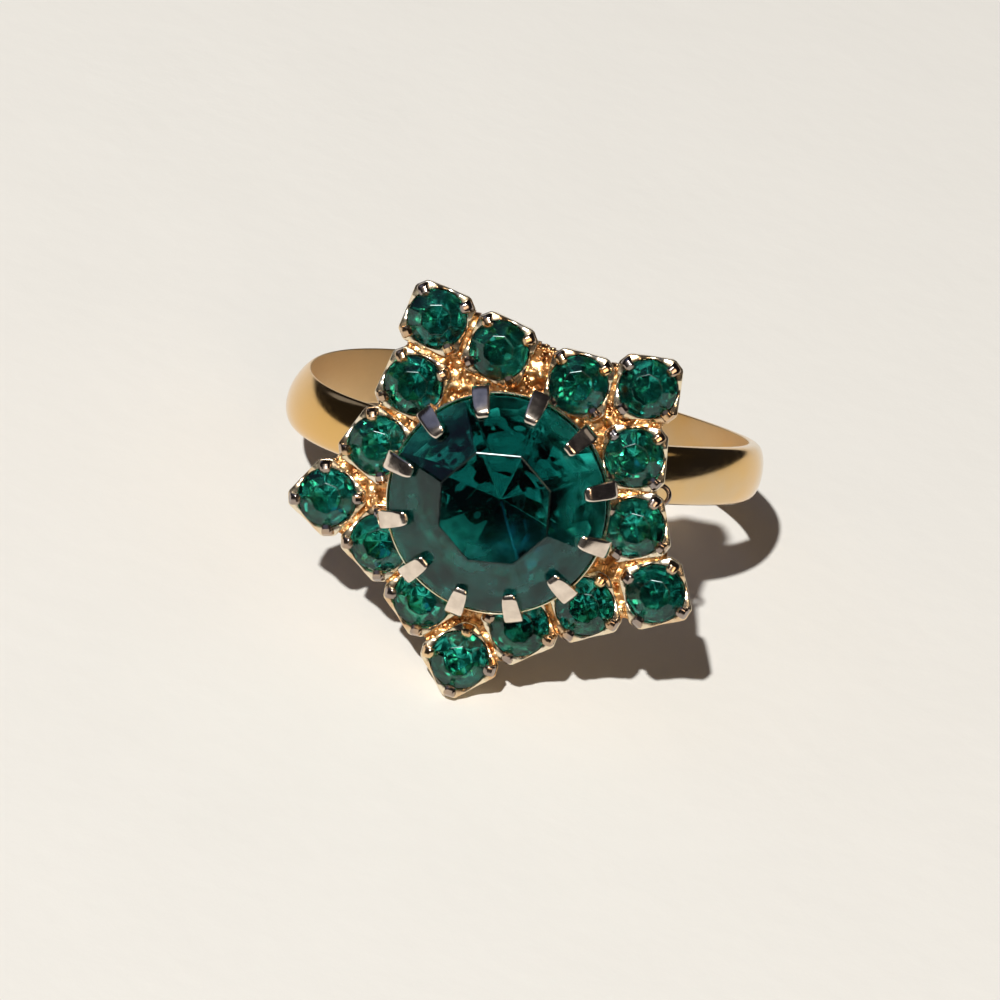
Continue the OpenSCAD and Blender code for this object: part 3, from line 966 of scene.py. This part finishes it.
def bandTree():
    # a half-round section, swept round the finger hole and strayed a little along the finger
    tree, given, result = newTree("band", {**dict.fromkeys(band, "float"), "Material": "material"})
    rimHeight = bandSection["rimHeight"]

    def plus(first, second):
        return arithmetic(tree, "ADD", first, second)

    def minus(first, second):
        return arithmetic(tree, "SUBTRACT", first, second)

    def times(first, second):
        return arithmetic(tree, "MULTIPLY", first, second)

    def power(base, exponent):
        return arithmetic(tree, "POWER", base, exponent)

    def positive(value):
        return arithmetic(tree, "MAXIMUM", value, 0.0)

    def sine(angle):
        return arithmetic(tree, "SINE", angle)

    grid = shaderNode(tree, "GeometryNodeMeshGrid", {
        "Size X": 1.0, "Size Y": 1.0,
        "Vertices X": bandSection["around"], "Vertices Y": bandSection["across"],
    })
    flat = addNode(tree, "GeometryNodeInputPosition").outputs[0]
    at = shaderNode(tree, "ShaderNodeSeparateXYZ", {"Vector": flat})
    turn = times(at.outputs["X"], 2 * math.pi)
    lean = times(at.outputs["Y"], 2 * math.pi)
    rise = arithmetic(tree, "COSINE", lean)
    leftSide = positive(times(sine(turn), -1.0))
    fullness = plus(given["Fullness"], times(given["Ridge"], leftSide))
    outer = power(positive(rise), fullness)
    inner = power(positive(times(rise, -1.0)), bandSection["rimPower"])
    rim = times(minus(1.0, inner), rimHeight)
    back = times(outer, minus(given["Thickness"], rimHeight))
    tipped = times(times(given["Tip"], leftSide), plus(sine(lean), bandSection["tipMiddle"]))
    back = times(back, minus(1.0, tipped))
    back = times(back, minus(1.0, times(given["Worn"], leftSide)))
    onBack = arithmetic(tree, "GREATER_THAN", rise, 0.0)
    reach = plus(given["Radius"], plus(rim, times(back, onBack)))
    crown = power(positive(rise), bandSection["skewPower"])
    skewed = times(times(crown, leftSide), given["Skew"])
    wide = times(minus(sine(lean), skewed), times(given["Width"], 0.5))
    stray = times(sine(times(turn, bandSection["straysPerTurn"])), given["Stray"])
    placed = shaderNode(tree, "ShaderNodeCombineXYZ", {
        "X": times(reach, sine(turn)),
        "Y": plus(wide, stray),
        "Z": times(reach, arithmetic(tree, "COSINE", turn)),
    })
    marked = shaderNode(tree, "GeometryNodeStoreNamedAttribute", {
        "Geometry": grid.outputs["Mesh"], "Name": "inside",
        "Value": arithmetic(tree, "LESS_THAN", rise, bandSection["insideBelow"]),
    }, data_type="FLOAT", domain="POINT")
    bent = shaderNode(tree, "GeometryNodeSetPosition", {
        "Geometry": marked.outputs["Geometry"], "Position": placed.outputs["Vector"],
    })
    closed = shaderNode(tree, "GeometryNodeMergeByDistance", {
        "Geometry": bent.outputs["Geometry"], "Distance": bandSection["weld"],
    })
    smooth = shaderNode(tree, "GeometryNodeSetShadeSmooth", {"Geometry": closed.outputs["Geometry"]})
    painted = shaderNode(tree, "GeometryNodeSetMaterial", {
        "Geometry": smooth.outputs["Geometry"], "Material": given["Material"],
    })
    tree.links.new(painted.outputs["Geometry"], result.inputs["Geometry"])
    return tree


def makeBand():
    mesh = runTree("band", bandTree(), {**band, "Material": metals["bandGold"]})
    turnFacesOut(mesh)
    finishPiece("band", mesh, "gold_plate", "ring_frame")


makeBand()

# Floor and light
studio = {
    "floorHalf": 1.2, "floor": (0.83, 0.81, 0.76), "floorRough": 0.85, "darkest": 0.985,
    "patches": (6, 4), "dents": (1.2, 4), "dentDepth": 0.02, "surround": (0.017, 0.016, 0.018),
}
lamps = {
    # a way is given as right, away and up, seen from the camera, and a size and distance in metres
    "key": {
        "way": (-0.3, -0.88, 1.0), "away": 1.8, "size": 0.05, "beam": 17, "beamEdge": 0.3,
        "power": 169.0, "colour": (1.0, 0.985, 0.955),
    },
    "leftPanel": {
        "way": (-1.0, -0.1, 1.15), "away": 0.9, "size": 0.8,
        "power": 0.36, "colour": (0.46, 0.58, 1.0),
    },
    "backPanel": {
        "way": (-0.62, 0.75, 0.3), "away": 0.9, "size": 0.24,
        "power": 0.06, "colour": (0.5, 0.6, 1.0),
    },
    "rightPanel": {
        "way": (0.62, 0.1, 0.72), "away": 0.9, "size": 0.4,
        "power": 0.13, "colour": (1.0, 0.9, 0.78),
    },
    "frontPanel": {
        "way": (0.36, -1.0, 0.66), "away": 1.1, "size": 0.28,
        "power": 0.9, "colour": (1.0, 0.7, 0.44),
    },
}


def addLamp(name, lamp):
    look = camera.matrix_world.to_3x3() @ Vector((0, 0, -1))
    away = Vector((look.x, look.y, 0)).normalized()
    right = Vector((away.y, -away.x, 0))
    sideways, along, high = lamp["way"]
    way = (right * sideways + away * along + Vector((0, 0, high))).normalized()
    light = bpy.data.lights.new(name, "SPOT" if "beam" in lamp else "AREA")
    if "beam" in lamp:
        light.spot_size = math.radians(lamp["beam"])
        light.spot_blend = lamp["beamEdge"]
        light.shadow_soft_size = lamp["size"] / 2
    else:
        light.shape = "DISK"
        light.size = lamp["size"]
    light.energy = lamp["power"]
    light.color = lamp["colour"]
    shining = bpy.data.objects.new(name, light)
    turn = way.to_track_quat("Z", "Y").to_matrix().to_4x4()
    shining.matrix_world = Matrix.Translation(way * lamp["away"]) @ turn
    bpy.context.scene.collection.objects.link(shining)


def makeFloor():
    half = studio["floorHalf"]
    mesh = bpy.data.meshes.new("floor")
    corners = [(-half, -half), (half, -half), (half, half), (-half, half)]
    mesh.from_pydata([(x, y, floorHeight) for x, y in corners], [], [(0, 1, 2, 3)])
    material, tree, shader = newMaterial("paleFloor", Roughness=studio["floorRough"])
    feed(tree, shader, "Base Color", colourSteps(tree, spread(tree, grain(tree, *studio["patches"]), 0, 1), [
        (0.0, tuple(part * studio["darkest"] for part in studio["floor"])),
        (1.0, studio["floor"]),
    ]))
    bumps(tree, shader, grain(tree, *studio["dents"]), studio["dentDepth"])
    mesh.materials.append(material)
    floor = bpy.data.objects.new("floor", mesh)
    bpy.context.scene.collection.objects.link(floor)


def makeSurround():
    world = bpy.data.worlds.new("surround")
    world.use_nodes = True
    background = world.node_tree.nodes["Background"]
    background.inputs["Color"].default_value = (*studio["surround"], 1)
    background.inputs["Strength"].default_value = 1.0
    bpy.context.scene.world = world
    bpy.context.scene.view_settings.view_transform = "Standard"


makeFloor()
for name, lamp in lamps.items():
    addLamp(name, lamp)
makeSurround()
print("studio set")
